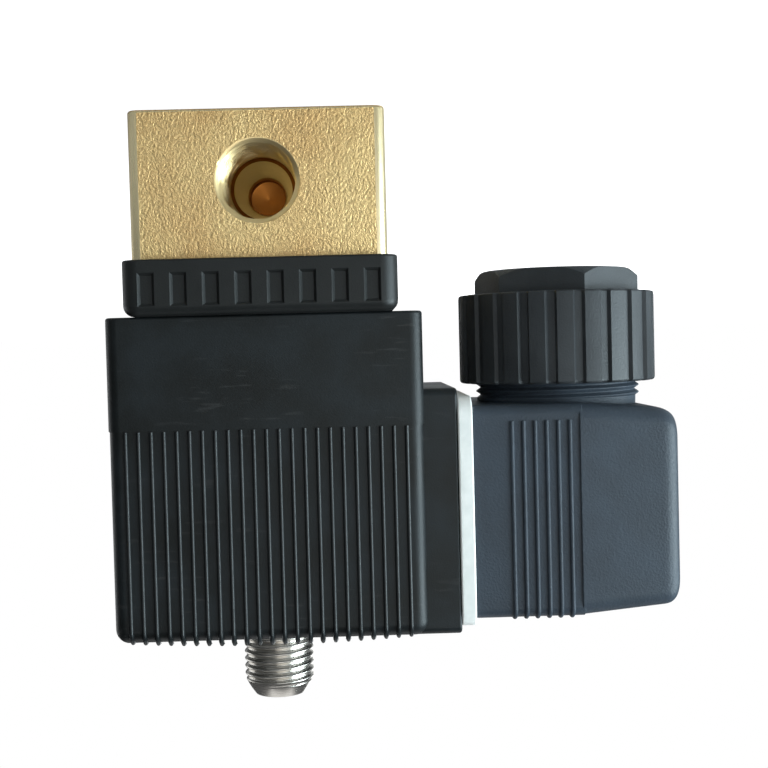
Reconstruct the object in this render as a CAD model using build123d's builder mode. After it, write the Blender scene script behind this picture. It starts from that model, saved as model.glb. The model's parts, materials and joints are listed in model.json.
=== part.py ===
from build123d import *

import os
from math import cos, radians, sin

# Three-way solenoid valve: a square brass body with a tapped port on two sides, a sealed core tube
# with the plunger inside, a moulded coil that slips over the tube, and a cable plug screwed to the
# coil. Millimetres. The origin is the centre of the body's base face and +Z is the core tube's axis.
# The pressure port faces -Y and the cable plug is on the -X side, with its gland pointing down.

os.makedirs("parts", exist_ok=True)

# ---------------------------------------------------------------- driving dimensions
running_gap = 0.08  # radial gap where one piece slides or turns in another
easy_gap = 0.25  # gap where a piece only has to go in

# brass body
body_width = 32.0
body_height = 19.0
body_corner = 1.2
port_height = 9.0
port_thread_radius = 4.40
port_mouth_radius = 5.35
port_thread_depth = 10.2
port_neck_radius = 3.8
port_neck_length = 8.0
port_bore_radius = 2.5
port_cone_length = 0.8
pressure_bore_overrun = 3.9  # how far the bore runs past the valve's axis
drill_point_length = 1.0
outlet_thread_depth = 8.5
outlet_neck_radius = 3.0
outlet_passage_radius = 1.1
outlet_passage_inset = 0.15  # from the chamber's wall
chamber_radius = 8.0
chamber_depth = 4.4
seat_height = 1.6
seat_radius = 1.7
seat_foot_radius = 3.0
orifice_radius = 1.0
base_screw_spacing = 21.0
base_screw_radius = 1.65
base_screw_depth = 7.0

# core tube, flange plate and screws
tube_inner_radius = 5.08
tube_wall = 0.42
tube_flange_radius = 10.5
tube_flange_thickness = 1.5
tube_end_depth = 3.5  # below the yoke's top face
plate_inset = 1.0
plate_thickness = 3.0
plate_corner = 2.5
plate_screw_spacing = 23.0
screw_radius = 1.5
screw_head_radius = 2.75
screw_head_height = 1.7
screw_socket_flats = 2.5
screw_socket_depth = 1.0
screw_reach = 6.5
o_ring_radius = 9.0
o_ring_wire = 0.75
o_ring_groove_depth = 1.2

# base collar
collar_overhang = 1.2
collar_height = 6.6
collar_corner = 2.2
collar_top_round = 1.2
collar_recess_pitch = 4.0
collar_recess_width = 2.1
collar_recess_height = 4.2
collar_recess_depth = 0.4
collar_recess_count = 8

# plunger, spring and pole piece
plunger_stroke = 0.8
plunger_length = 25.4
plunger_groove_width = 1.4
plunger_groove_depth = 0.7
plunger_groove_count = 3
lower_seal_radius = 2.4
lower_seal_thickness = 2.0
lower_seal_proud = 0.4
upper_seal_radius = 1.9
upper_seal_thickness = 1.6
pole_air_gap = 1.0
pole_nozzle_radius = 1.5
exhaust_bore_radius = 0.9
exhaust_thread_radius = 2.1
exhaust_thread_depth = 7.0
spring_radius = 3.4
spring_wire_radius = 0.25
spring_pocket_inner = 2.8
spring_pocket_outer = 4.0
spring_pocket_depth = 7.0
spring_turns = 5
shading_ring_inset = 1.0
shading_ring_width = 0.5
shading_ring_height = 1.2
stem_radius = 4.2
stub_thread_radius = 4.8
stub_sink = 0.4  # thread that starts inside the end recess
stub_reach = 9.9
stub_chamfer = 0.9
stub_chamfer_length = 2.0
nut_across_flats = 14.0
nut_thickness = 2.6
nut_sink = 0.5  # the nut's top below the coil's top
washer_radius = 8.0
washer_thickness = 0.8

# coil
coil_width = 39.9
coil_offset = -0.2
coil_depth = 31.0
coil_height = 41.8
coil_corner = 2.0
coil_end_round = 1.6
coil_band_height = 14.4
coil_rib_count = 23
coil_rib_pitch = 1.602
coil_rib_width = 0.55
coil_rib_proud = 0.3
nut_recess_radius = 8.6
yoke_thickness = 2.5
yoke_width = 22.0
yoke_bottom_clearance = 2.0
yoke_short_side = 12.0
coil_side_wall = 2.25
bobbin_wall = 0.8
bobbin_flange_radius = 12.0
bobbin_flange_thickness = 1.2
winding_radius = 11.6
coil_seal_radius = 8.0
coil_seal_wire = 0.6

# connector
connector_rise = 25.8  # the connector's middle above the coil's underside
boss_reach = 4.2
boss_margin_side = 0.2
boss_margin_below = 2.35
boss_margin_above = 1.95
boss_corner = 1.0
blade_width = 6.3
blade_thickness = 0.8
blade_reach = 9.2
blade_root = 5.4
blade_pitch_radius = 9.0
insert_radius = 2.2
insert_length = 7.8
clamp_screw_radius = 1.5
insert_thread_gap = 0.06
screw_end_gap = 1.0  # the screw stops short of the insert's blind end
gasket_thickness = 1.9
gasket_margin_side = 0.4
gasket_margin_end = 1.25
gasket_corner = 2.5
gasket_window_margin = 0.3

# cable plug
plug_depth = 26.7
plug_corner = 2.2
plug_rear_round = 1.8
plug_side_corner = 1.5
plug_split = 13.65
plug_step = 0.3
plug_draft = 4.4  # degrees, on the rear half
plug_rib_count = 6
plug_rib_start = 5.0
plug_rib_pitch = 1.48
plug_rib_width = 0.6
plug_rib_proud = 0.3
plug_rib_length = 24.9
plug_wall = 2.5
cavity_depth = 24.2
screw_boss_radius = 4.8
screw_boss_length = 5.0
head_pocket_radius = 3.4
head_pocket_depth = 5.45
captive_head_radius = 2.75
captive_head_height = 2.4
captive_slot_width = 0.8
captive_slot_depth = 1.2
head_seal_thickness = 0.8
block_side_wall = 0.95
block_end_wall = 0.5
block_setback = 1.0
block_depth = 13.7
contact_depth = 11.0
contact_wall = 0.9
contact_setback = 1.0
blade_end_gap = 1.0
terminal_screw_radius = 1.2
terminal_head_radius = 1.9
terminal_head_height = 1.3
terminal_screw_length = 3.2

# cable gland
neck_to_face = 1.9  # from the plug's open face to the near side of the neck
neck_radius = 11.1
neck_shown = 2.45
neck_end_gap = 1.48
cable_bore_radius = 5.5
seal_pocket_radius = 7.3
seal_length = 7.1
seal_bore_radius = 4.0
pressure_washer_radius = 8.4
pressure_washer_bore = 4.6
pressure_washer_thickness = 1.0
gland_nut_wall = 2.12
gland_nut_flute_depth = 0.45
gland_nut_flute_radius = 0.66
gland_nut_flute_count = 23
gland_nut_flute_turn = 15.2
gland_nut_length = 12.0
gland_hex_inset = 1.3  # of the hexagon's flats inside the neck's radius
gland_floor_thickness = 1.2
gland_hex_length = 3.2
gland_hex_turn = 19.0
gland_mouth_radius = 5.0

# ---------------------------------------------------------------- places worked out from them
body_half = body_width / 2
chamber_floor = body_height - chamber_depth
seat_top = chamber_floor + seat_height
passage_place = chamber_radius - outlet_passage_radius - outlet_passage_inset
outlet_end = passage_place - outlet_passage_radius
plate_width = body_width - 2 * plate_inset
collar_width = body_width + 2 * collar_overhang
collar_top = body_height + collar_height
tube_outer_radius = tube_inner_radius + tube_wall
plate_top = body_height + plate_thickness
head_top = plate_top + screw_head_height
plunger_radius = tube_inner_radius - running_gap
plunger_bottom = seat_top + lower_seal_proud
plunger_top = plunger_bottom + plunger_length
pole_bottom = plunger_top + pole_air_gap
nozzle_bottom = plunger_top + plunger_stroke
shading_ring_outer = tube_inner_radius - shading_ring_inset
shading_ring_inner = shading_ring_outer - shading_ring_width

coil_bore_radius = tube_outer_radius + running_gap
coil_bottom = collar_top
coil_top = coil_bottom + coil_height
stub_top = coil_top + stub_reach
stub_start = coil_top - stub_sink
yoke_bottom = coil_bottom + yoke_bottom_clearance
yoke_top = coil_top - nut_thickness - washer_thickness - nut_sink
yoke_leg_outer = coil_offset + coil_width / 2 - coil_side_wall
yoke_leg_inner = yoke_leg_outer - yoke_thickness
tube_top = yoke_top - tube_end_depth
bobbin_bottom = yoke_bottom + yoke_thickness
bobbin_top = yoke_top - yoke_thickness
winding_bottom = bobbin_bottom + bobbin_flange_thickness
winding_top = bobbin_top - bobbin_flange_thickness
insert_bore_radius = clamp_screw_radius + insert_thread_gap

contact_width = blade_width + 2 * contact_wall
contact_thickness = blade_thickness + 2 * contact_wall
block_width = 2 * (blade_pitch_radius + contact_thickness / 2 + block_side_wall)
block_height = 2 * (blade_pitch_radius + contact_thickness / 2 + block_end_wall)
cavity_width = block_width + 2 * easy_gap
cavity_height = block_height + 2 * easy_gap
plug_width = cavity_width + 2 * plug_wall
plug_height = cavity_height + 2 * plug_wall

connector_height = coil_bottom + connector_rise
boss_face = coil_width / 2 - coil_offset + boss_reach
boss_width = plug_width + 2 * boss_margin_side
boss_bottom = connector_height - plug_height / 2 - boss_margin_below
boss_top = connector_height + plug_height / 2 + boss_margin_above
plug_face = -boss_face - gasket_thickness
plug_bottom = connector_height - plug_height / 2
block_face = plug_face - block_setback
block_back = block_face - block_depth
contact_face = block_face - contact_setback
contact_middle = contact_face - contact_depth / 2
blade_length = blade_reach + blade_root
blade_tip = -boss_face - blade_reach
blade_middle = blade_tip + blade_length / 2

gland_axis = -plug_face + neck_to_face + neck_radius
gland_nut_radius = neck_radius + running_gap + gland_nut_wall
nut_rim = plug_bottom - neck_shown
nut_floor = nut_rim - gland_nut_length
nut_end = nut_floor - gland_hex_length
washer_seat = nut_floor + gland_floor_thickness
neck_bottom = washer_seat + neck_end_gap
seal_bottom = washer_seat + pressure_washer_thickness

boss_plane = Plane(origin=(-boss_face, 0, connector_height), x_dir=(0, -1, 0), z_dir=(-1, 0, 0))
plug_plane = Plane(origin=(plug_face, 0, connector_height), x_dir=(0, -1, 0), z_dir=(-1, 0, 0))
gland_place = (-gland_axis, 0)

# ---------------------------------------------------------------- valve body
with BuildPart() as valve_body:
    with BuildSketch():
        RectangleRounded(body_width, body_width, body_corner)
    extrude(amount=body_height)
    # plunger chamber, with the raised seat left standing in it
    with BuildSketch(Plane.XY.offset(chamber_floor)):
        Circle(chamber_radius)
    extrude(amount=body_height - chamber_floor, mode=Mode.SUBTRACT)
    with Locations((0, 0, chamber_floor)):
        Cone(
            seat_foot_radius,
            seat_radius,
            seat_top - chamber_floor,
            align=(Align.CENTER, Align.CENTER, Align.MIN),
        )
    # pressure port: tapped mouth, neck, cone, and a bore that runs under the seat
    port_neck_end = -body_half + port_thread_depth + port_neck_length
    with BuildSketch(Plane.YZ):
        with BuildLine():
            Polyline(
                (-body_half, port_height),
                (-body_half, port_height + port_mouth_radius),
                (-body_half + port_mouth_radius - port_thread_radius, port_height + port_thread_radius),
                (-body_half + port_thread_depth, port_height + port_thread_radius),
                (-body_half + port_thread_depth, port_height + port_neck_radius),
                (port_neck_end, port_height + port_neck_radius),
                (port_neck_end + port_cone_length, port_height + port_bore_radius),
                (pressure_bore_overrun, port_height + port_bore_radius),
                (pressure_bore_overrun + drill_point_length, port_height),
                close=True,
            )
        make_face()
    revolve(axis=Axis((0, 0, port_height), (0, 1, 0)), mode=Mode.SUBTRACT)
    with BuildSketch(Plane.XY.offset(port_height)):
        Circle(orifice_radius)
    extrude(amount=seat_top - port_height, mode=Mode.SUBTRACT)
    # outlet port on the far side, with the passage up into the chamber
    with BuildSketch(Plane.YZ):
        with BuildLine():
            Polyline(
                (body_half, port_height),
                (body_half, port_height + port_mouth_radius),
                (body_half - port_mouth_radius + port_thread_radius, port_height + port_thread_radius),
                (body_half - outlet_thread_depth, port_height + port_thread_radius),
                (body_half - outlet_thread_depth, port_height + outlet_neck_radius),
                (outlet_end, port_height + outlet_neck_radius),
                (outlet_end, port_height),
                close=True,
            )
        make_face()
    revolve(axis=Axis((0, 0, port_height), (0, 1, 0)), mode=Mode.SUBTRACT)
    with BuildSketch(Plane.XY.offset(port_height)):
        with Locations((0, passage_place)):
            Circle(outlet_passage_radius)
    extrude(amount=chamber_floor - port_height, mode=Mode.SUBTRACT)
    # groove for the sealing ring, tapped holes for the flange screws and for fixing the valve
    with BuildSketch(Plane.XY.offset(body_height)):
        Circle(o_ring_radius + o_ring_wire)
        Circle(o_ring_radius - o_ring_wire, mode=Mode.SUBTRACT)
    extrude(amount=-o_ring_groove_depth, mode=Mode.SUBTRACT)
    with BuildSketch(Plane.XY.offset(body_height)):
        with GridLocations(plate_screw_spacing, plate_screw_spacing, 2, 2):
            Circle(screw_radius)
    extrude(amount=-screw_reach, mode=Mode.SUBTRACT)
    with BuildSketch():
        with GridLocations(base_screw_spacing, 0, 2, 1):
            Circle(base_screw_radius)
    extrude(amount=base_screw_depth, mode=Mode.SUBTRACT)
valve_body.part.label = "valve_body"
export_step(valve_body.part, "parts/valve_body.step")

# ---------------------------------------------------------------- sealing ring under the tube flange
with BuildPart() as body_o_ring:
    with BuildSketch(Plane.XZ):
        with Locations((o_ring_radius, body_height - o_ring_groove_depth / 2)):
            Ellipse(o_ring_wire, o_ring_groove_depth / 2)
    revolve(axis=Axis.Z)
body_o_ring.part.label = "body_o_ring"
export_step(body_o_ring.part, "parts/body_o_ring.step")

# ---------------------------------------------------------------- core tube
with BuildPart() as core_tube:
    with BuildSketch(Plane.XY.offset(body_height)):
        Circle(tube_outer_radius)
        Circle(tube_inner_radius, mode=Mode.SUBTRACT)
    extrude(amount=tube_top - body_height)
    with BuildSketch(Plane.XY.offset(body_height)):
        Circle(tube_flange_radius)
        Circle(tube_inner_radius, mode=Mode.SUBTRACT)
    extrude(amount=tube_flange_thickness)
core_tube.part.label = "core_tube"
export_step(core_tube.part, "parts/core_tube.step")

# ---------------------------------------------------------------- flange plate and its four screws
with BuildPart() as flange_screws:
    with BuildSketch(Plane.XY.offset(plate_top)):
        with GridLocations(plate_screw_spacing, plate_screw_spacing, 2, 2):
            Circle(screw_head_radius)
    extrude(amount=screw_head_height)
    with BuildSketch(Plane.XY.offset(head_top)):
        with GridLocations(plate_screw_spacing, plate_screw_spacing, 2, 2):
            RegularPolygon(screw_socket_flats / 2, 6, major_radius=False)
    extrude(amount=-screw_socket_depth, mode=Mode.SUBTRACT)
    with BuildSketch(Plane.XY.offset(body_height - screw_reach)):
        with GridLocations(plate_screw_spacing, plate_screw_spacing, 2, 2):
            Circle(screw_radius)
    extrude(amount=screw_reach + plate_thickness)
flange_screws.part.label = "flange_screws"
export_step(flange_screws.part, "parts/flange_screws.step")

with BuildPart() as flange_plate:
    with BuildSketch(Plane.XY.offset(body_height)):
        RectangleRounded(plate_width, plate_width, plate_corner)
        Circle(tube_outer_radius, mode=Mode.SUBTRACT)
        with GridLocations(plate_screw_spacing, plate_screw_spacing, 2, 2):
            Circle(screw_radius, mode=Mode.SUBTRACT)
    extrude(amount=plate_thickness)
    with BuildSketch(Plane.XY.offset(body_height)):
        Circle(tube_flange_radius)
    extrude(amount=tube_flange_thickness, mode=Mode.SUBTRACT)
flange_plate.part.label = "flange_plate"
export_step(flange_plate.part, "parts/flange_plate.step")

# ---------------------------------------------------------------- base collar
with BuildPart() as base_collar:
    with BuildSketch(Plane.XY.offset(body_height)):
        RectangleRounded(collar_width, collar_width, collar_corner)
    extrude(amount=collar_height)
    fillet(base_collar.faces().sort_by(Axis.Z)[-1].edges(), radius=collar_top_round)
    with BuildSketch(Plane.XY.offset(body_height)):
        RectangleRounded(
            plate_width + 2 * easy_gap, plate_width + 2 * easy_gap, plate_corner + easy_gap
        )
    extrude(amount=plate_thickness + easy_gap, mode=Mode.SUBTRACT)
    with BuildSketch(Plane.XY.offset(plate_top)):
        with GridLocations(plate_screw_spacing, plate_screw_spacing, 2, 2):
            Circle(screw_head_radius + easy_gap)
    extrude(amount=screw_head_height + easy_gap, mode=Mode.SUBTRACT)
    with BuildSketch(Plane.XY.offset(plate_top)):
        Circle(tube_outer_radius + easy_gap)
    extrude(amount=collar_height, mode=Mode.SUBTRACT)
    # shallow finger recesses all round
    recess_middle = body_height + collar_height / 2
    for side in range(4):
        turn = radians(90 * side)
        recess_plane = Plane(
            origin=(collar_width / 2 * sin(turn), -collar_width / 2 * cos(turn), recess_middle),
            x_dir=(cos(turn), sin(turn), 0),
            z_dir=(sin(turn), -cos(turn), 0),
        )
        with BuildSketch(recess_plane):
            with GridLocations(collar_recess_pitch, 0, collar_recess_count, 1):
                Rectangle(collar_recess_width, collar_recess_height)
        extrude(amount=-collar_recess_depth, mode=Mode.SUBTRACT)
base_collar.part.label = "base_collar"
export_step(base_collar.part, "parts/base_collar.step")

# ---------------------------------------------------------------- plunger and its seals
with BuildPart() as lower_seal:
    with BuildSketch(Plane.XY.offset(seat_top)):
        Circle(lower_seal_radius)
    extrude(amount=lower_seal_thickness)
lower_seal.part.label = "lower_seal"
export_step(lower_seal.part, "parts/lower_seal.step")

with BuildPart() as upper_seal:
    with BuildSketch(Plane.XY.offset(plunger_top)):
        Circle(upper_seal_radius)
    extrude(amount=-upper_seal_thickness)
upper_seal.part.label = "upper_seal"
export_step(upper_seal.part, "parts/upper_seal.step")

with BuildPart() as armature:
    with BuildSketch(Plane.XY.offset(plunger_bottom)):
        Circle(plunger_radius)
        with PolarLocations(plunger_radius, plunger_groove_count):
            Rectangle(2 * plunger_groove_depth, plunger_groove_width, mode=Mode.SUBTRACT)
    extrude(amount=plunger_top - plunger_bottom)
    add(lower_seal.part, mode=Mode.SUBTRACT)
    add(upper_seal.part, mode=Mode.SUBTRACT)
    with BuildSketch(Plane.XY.offset(plunger_top)):
        Circle(spring_pocket_outer)
        Circle(spring_pocket_inner, mode=Mode.SUBTRACT)
    extrude(amount=-spring_pocket_depth, mode=Mode.SUBTRACT)
armature.part.label = "armature"
export_step(armature.part, "parts/armature.step")

# ---------------------------------------------------------------- return spring
spring_bottom = plunger_top - spring_pocket_depth + spring_wire_radius
spring_length = pole_bottom - spring_wire_radius - spring_bottom
with BuildPart() as return_spring:
    with BuildLine() as spring_line:
        Helix(
            pitch=spring_length / spring_turns,
            height=spring_length,
            radius=spring_radius,
            center=(0, 0, spring_bottom),
        )
    with BuildSketch(Plane(origin=spring_line.line @ 0, z_dir=spring_line.line % 0)):
        Circle(spring_wire_radius)
    sweep(path=spring_line.line, is_frenet=True)
return_spring.part.label = "return_spring"
export_step(return_spring.part, "parts/return_spring.step")

# ---------------------------------------------------------------- shading ring and pole piece
with BuildPart() as shading_ring:
    with BuildSketch(Plane.XY.offset(pole_bottom)):
        Circle(shading_ring_outer)
        Circle(shading_ring_inner, mode=Mode.SUBTRACT)
    extrude(amount=shading_ring_height)
shading_ring.part.label = "shading_ring"
export_step(shading_ring.part, "parts/shading_ring.step")

with BuildPart() as pole_piece:
    with BuildSketch(Plane.XZ):
        with BuildLine():
            Polyline(
                (0, nozzle_bottom),
                (pole_nozzle_radius, nozzle_bottom),
                (pole_nozzle_radius, pole_bottom),
                (tube_inner_radius, pole_bottom),
                (tube_inner_radius, tube_top),
                (stem_radius, tube_top),
                (stem_radius, stub_start),
                (stub_thread_radius, stub_start),
                (stub_thread_radius, stub_top - stub_chamfer_length),
                (stub_thread_radius - stub_chamfer, stub_top),
                (0, stub_top),
                close=True,
            )
        make_face()
    revolve(axis=Axis.Z)
    with BuildSketch(Plane.XY.offset(nozzle_bottom)):
        Circle(exhaust_bore_radius)
    extrude(amount=stub_top - nozzle_bottom, mode=Mode.SUBTRACT)
    with BuildSketch(Plane.XY.offset(stub_top)):
        Circle(exhaust_thread_radius)
    extrude(amount=-exhaust_thread_depth, mode=Mode.SUBTRACT)
    add(shading_ring.part, mode=Mode.SUBTRACT)
pole_piece.part.label = "pole_piece"
export_step(pole_piece.part, "parts/pole_piece.step")

# ---------------------------------------------------------------- coil nut and washer
with BuildPart() as coil_washer:
    with BuildSketch(Plane.XY.offset(yoke_top)):
        Circle(washer_radius)
        Circle(stem_radius, mode=Mode.SUBTRACT)
    extrude(amount=washer_thickness)
coil_washer.part.label = "coil_washer"
export_step(coil_washer.part, "parts/coil_washer.step")

with BuildPart() as coil_nut:
    with BuildSketch(Plane.XY.offset(yoke_top + washer_thickness)):
        RegularPolygon(nut_across_flats / 2, 6, major_radius=False)
        Circle(stem_radius, mode=Mode.SUBTRACT)
    extrude(amount=nut_thickness)
coil_nut.part.label = "coil_nut"
export_step(coil_nut.part, "parts/coil_nut.step")

# ---------------------------------------------------------------- yoke frame, bobbin and winding
with BuildPart() as yoke_frame:
    with BuildSketch(Plane.XZ.offset(-yoke_width / 2)):
        with BuildLine():
            Polyline(
                (-yoke_short_side, yoke_bottom),
                (yoke_leg_outer, yoke_bottom),
                (yoke_leg_outer, yoke_top),
                (-yoke_short_side, yoke_top),
                (-yoke_short_side, bobbin_top),
                (yoke_leg_inner, bobbin_top),
                (yoke_leg_inner, bobbin_bottom),
                (-yoke_short_side, bobbin_bottom),
                close=True,
            )
        make_face()
    extrude(amount=yoke_width)
    with BuildSketch(Plane.XY.offset(yoke_bottom)):
        Circle(coil_bore_radius)
    extrude(amount=yoke_top - yoke_bottom, mode=Mode.SUBTRACT)
yoke_frame.part.label = "yoke_frame"
export_step(yoke_frame.part, "parts/yoke_frame.step")

with BuildPart() as coil_bobbin:
    with BuildSketch(Plane.XZ):
        with BuildLine():
            Polyline(
                (coil_bore_radius, bobbin_bottom),
                (bobbin_flange_radius, bobbin_bottom),
                (bobbin_flange_radius, winding_bottom),
                (coil_bore_radius + bobbin_wall, winding_bottom),
                (coil_bore_radius + bobbin_wall, winding_top),
                (bobbin_flange_radius, winding_top),
                (bobbin_flange_radius, bobbin_top),
                (coil_bore_radius, bobbin_top),
                close=True,
            )
        make_face()
    revolve(axis=Axis.Z)
coil_bobbin.part.label = "coil_bobbin"
export_step(coil_bobbin.part, "parts/coil_bobbin.step")

with BuildPart() as coil_winding:
    with BuildSketch(Plane.XY.offset(winding_bottom)):
        Circle(winding_radius)
        Circle(coil_bore_radius + bobbin_wall, mode=Mode.SUBTRACT)
    extrude(amount=winding_top - winding_bottom)
coil_winding.part.label = "coil_winding"
export_step(coil_winding.part, "parts/coil_winding.step")

# ---------------------------------------------------------------- connector blades and screw insert
with BuildPart() as line_pins:
    with Locations(
        (blade_middle, -blade_pitch_radius, connector_height),
        (blade_middle, blade_pitch_radius, connector_height),
    ):
        Box(blade_length, blade_thickness, blade_width)
line_pins.part.label = "line_pins"
export_step(line_pins.part, "parts/line_pins.step")

with BuildPart() as earth_pin:
    with Locations((blade_middle, 0, connector_height + blade_pitch_radius)):
        Box(blade_length, blade_width, blade_thickness)
earth_pin.part.label = "earth_pin"
export_step(earth_pin.part, "parts/earth_pin.step")

with BuildPart() as screw_insert:
    with BuildSketch(boss_plane):
        Circle(insert_radius)
        Circle(insert_bore_radius, mode=Mode.SUBTRACT)
    extrude(amount=-insert_length)
screw_insert.part.label = "screw_insert"
export_step(screw_insert.part, "parts/screw_insert.step")

# ---------------------------------------------------------------- sealing ring under the coil
coil_seal_groove = 2 * coil_seal_wire
with BuildPart() as coil_seal:
    with BuildSketch(Plane.XZ):
        with Locations((coil_seal_radius, coil_bottom + coil_seal_wire)):
            Circle(coil_seal_wire)
    revolve(axis=Axis.Z)
coil_seal.part.label = "coil_seal"
export_step(coil_seal.part, "parts/coil_seal.step")

# ---------------------------------------------------------------- coil housing
with BuildPart() as coil_housing:
    with BuildSketch(Plane.XY.offset(coil_bottom)):
        with Locations((coil_offset, 0)):
            RectangleRounded(coil_width, coil_depth, coil_corner)
    extrude(amount=coil_height)
    fillet(coil_housing.faces().sort_by(Axis.Z)[-1].edges(), radius=coil_end_round)
    # moulded ribs on the front and back, from the plain band to the top edge
    rib_height = coil_height - coil_band_height - coil_end_round
    rib_middle = coil_bottom + coil_band_height + rib_height / 2
    with Locations((coil_offset, 0, rib_middle)):
        with GridLocations(coil_rib_pitch, 0, coil_rib_count, 1):
            Box(coil_rib_width, coil_depth + 2 * coil_rib_proud, rib_height)
    # connector boss
    boss_back = coil_offset - coil_width / 2 + coil_corner
    with BuildSketch(boss_plane):
        with Locations((0, (boss_bottom + boss_top) / 2 - connector_height)):
            RectangleRounded(boss_width, boss_top - boss_bottom, boss_corner)
    extrude(amount=-(boss_face + boss_back))
    # room for everything that is moulded in
    with BuildSketch(Plane.XY.offset(coil_bottom)):
        Circle(coil_bore_radius)
    extrude(amount=yoke_top - coil_bottom, mode=Mode.SUBTRACT)
    with BuildSketch(Plane.XY.offset(yoke_top)):
        Circle(nut_recess_radius)
    extrude(amount=coil_top - yoke_top, mode=Mode.SUBTRACT)
    with BuildSketch(Plane.XY.offset(coil_bottom)):
        Circle(coil_seal_radius + coil_seal_wire)
        Circle(coil_seal_radius - coil_seal_wire, mode=Mode.SUBTRACT)
    extrude(amount=coil_seal_groove, mode=Mode.SUBTRACT)
    add(yoke_frame.part, mode=Mode.SUBTRACT)
    with BuildSketch(Plane.XY.offset(bobbin_bottom)):
        Circle(bobbin_flange_radius)
    extrude(amount=bobbin_top - bobbin_bottom, mode=Mode.SUBTRACT)
    add(line_pins.part, mode=Mode.SUBTRACT)
    add(earth_pin.part, mode=Mode.SUBTRACT)
    with BuildSketch(boss_plane):
        Circle(insert_radius)
    extrude(amount=-insert_length, mode=Mode.SUBTRACT)
coil_housing.part.label = "coil_housing"
export_step(coil_housing.part, "parts/coil_housing.step")

# ---------------------------------------------------------------- flat gasket behind the plug
with BuildPart() as plug_gasket:
    with BuildSketch(boss_plane):
        RectangleRounded(
            plug_width + 2 * gasket_margin_side, plug_height + 2 * gasket_margin_end, gasket_corner
        )
        RectangleRounded(
            cavity_width + 2 * gasket_window_margin,
            cavity_height + 2 * gasket_window_margin,
            gasket_corner,
            mode=Mode.SUBTRACT,
        )
    extrude(amount=gasket_thickness)
plug_gasket.part.label = "plug_gasket"
export_step(plug_gasket.part, "parts/plug_gasket.step")

# ---------------------------------------------------------------- cable plug housing
with BuildPart() as plug_housing:
    with BuildSketch(plug_plane):
        RectangleRounded(plug_width - 2 * plug_step, plug_height, plug_side_corner)
    extrude(amount=plug_split + plug_rear_round)
    with BuildSketch(plug_plane.offset(plug_split)):
        RectangleRounded(plug_width, plug_height, plug_corner)
    extrude(amount=plug_depth - plug_split, taper=plug_draft)
    fillet(plug_housing.faces().sort_by(Axis.X)[0].edges(), radius=plug_rear_round)
    # grip ribs on both sides of the front half
    rib_bottom = plug_bottom + plug_height - plug_rib_length
    for rib in range(plug_rib_count):
        rib_place = plug_face - plug_rib_start - rib * plug_rib_pitch
        with Locations((rib_place, 0, rib_bottom + plug_rib_length / 2)):
            Box(
                plug_rib_width,
                plug_width - 2 * plug_step + 2 * plug_rib_proud,
                plug_rib_length - plug_side_corner,
            )
    # threaded neck of the gland
    with BuildSketch(Plane.XY.offset(neck_bottom)):
        with Locations(gland_place):
            Circle(neck_radius)
    extrude(amount=plug_bottom + plug_wall - neck_bottom)
    # wiring space, with the screw's boss left standing in it
    with BuildSketch(plug_plane):
        Rectangle(cavity_width, cavity_height)
    extrude(amount=cavity_depth, mode=Mode.SUBTRACT)
    with BuildSketch(plug_plane.offset(cavity_depth)):
        Circle(screw_boss_radius)
    extrude(amount=-screw_boss_length)
    with BuildSketch(Plane.XY.offset(neck_bottom)):
        with Locations(gland_place):
            Circle(cable_bore_radius)
    extrude(amount=plug_bottom + plug_wall - neck_bottom, mode=Mode.SUBTRACT)
    with BuildSketch(Plane.XY.offset(neck_bottom)):
        with Locations(gland_place):
            Circle(seal_pocket_radius)
    extrude(amount=seal_bottom + seal_length - neck_bottom, mode=Mode.SUBTRACT)
    with BuildSketch(plug_plane.offset(plug_depth)):
        Circle(clamp_screw_radius + easy_gap)
    extrude(amount=-plug_depth, mode=Mode.SUBTRACT)
    with BuildSketch(plug_plane.offset(plug_depth)):
        Circle(head_pocket_radius)
    extrude(amount=-head_pocket_depth, mode=Mode.SUBTRACT)
plug_housing.part.label = "plug_housing"
export_step(plug_housing.part, "parts/plug_housing.step")

# ---------------------------------------------------------------- captive plug screw and its seal
with BuildPart() as plug_screw_seal:
    with BuildSketch(plug_plane.offset(plug_depth - head_pocket_depth)):
        Circle(captive_head_radius)
        Circle(insert_bore_radius, mode=Mode.SUBTRACT)
    extrude(amount=head_seal_thickness)
plug_screw_seal.part.label = "plug_screw_seal"
export_step(plug_screw_seal.part, "parts/plug_screw_seal.step")

head_base = plug_depth - head_pocket_depth + head_seal_thickness
with BuildPart() as plug_screw:
    with BuildSketch(plug_plane.offset(head_base)):
        Circle(captive_head_radius)
    extrude(amount=captive_head_height)
    with BuildSketch(plug_plane.offset(head_base + captive_head_height)):
        Rectangle(2 * captive_head_radius, captive_slot_width)
    extrude(amount=-captive_slot_depth, mode=Mode.SUBTRACT)
    with BuildSketch(plug_plane.offset(head_base)):
        Circle(clamp_screw_radius)
    extrude(amount=-(head_base + gasket_thickness + insert_length - screw_end_gap))
plug_screw.part.label = "plug_screw"
export_step(plug_screw.part, "parts/plug_screw.step")

# ---------------------------------------------------------------- female contacts and terminal screws
terminal_places = [
    (-blade_pitch_radius, connector_height, 90),
    (blade_pitch_radius, connector_height, 90),
    (0, connector_height + blade_pitch_radius, 0),
]
slot_depth = contact_face - blade_tip + blade_end_gap
with BuildPart() as terminal_screws:
    for place_y, place_z, turn in terminal_places:
        terminal_plane = Plane(
            origin=(block_back, place_y, place_z), x_dir=(0, -1, 0), z_dir=(-1, 0, 0)
        )
        with BuildSketch(terminal_plane):
            Circle(terminal_head_radius)
        extrude(amount=terminal_head_height)
        with BuildSketch(terminal_plane):
            Circle(terminal_screw_radius)
        extrude(amount=-terminal_screw_length)
terminal_screws.part.label = "terminal_screws"
export_step(terminal_screws.part, "parts/terminal_screws.step")

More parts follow.
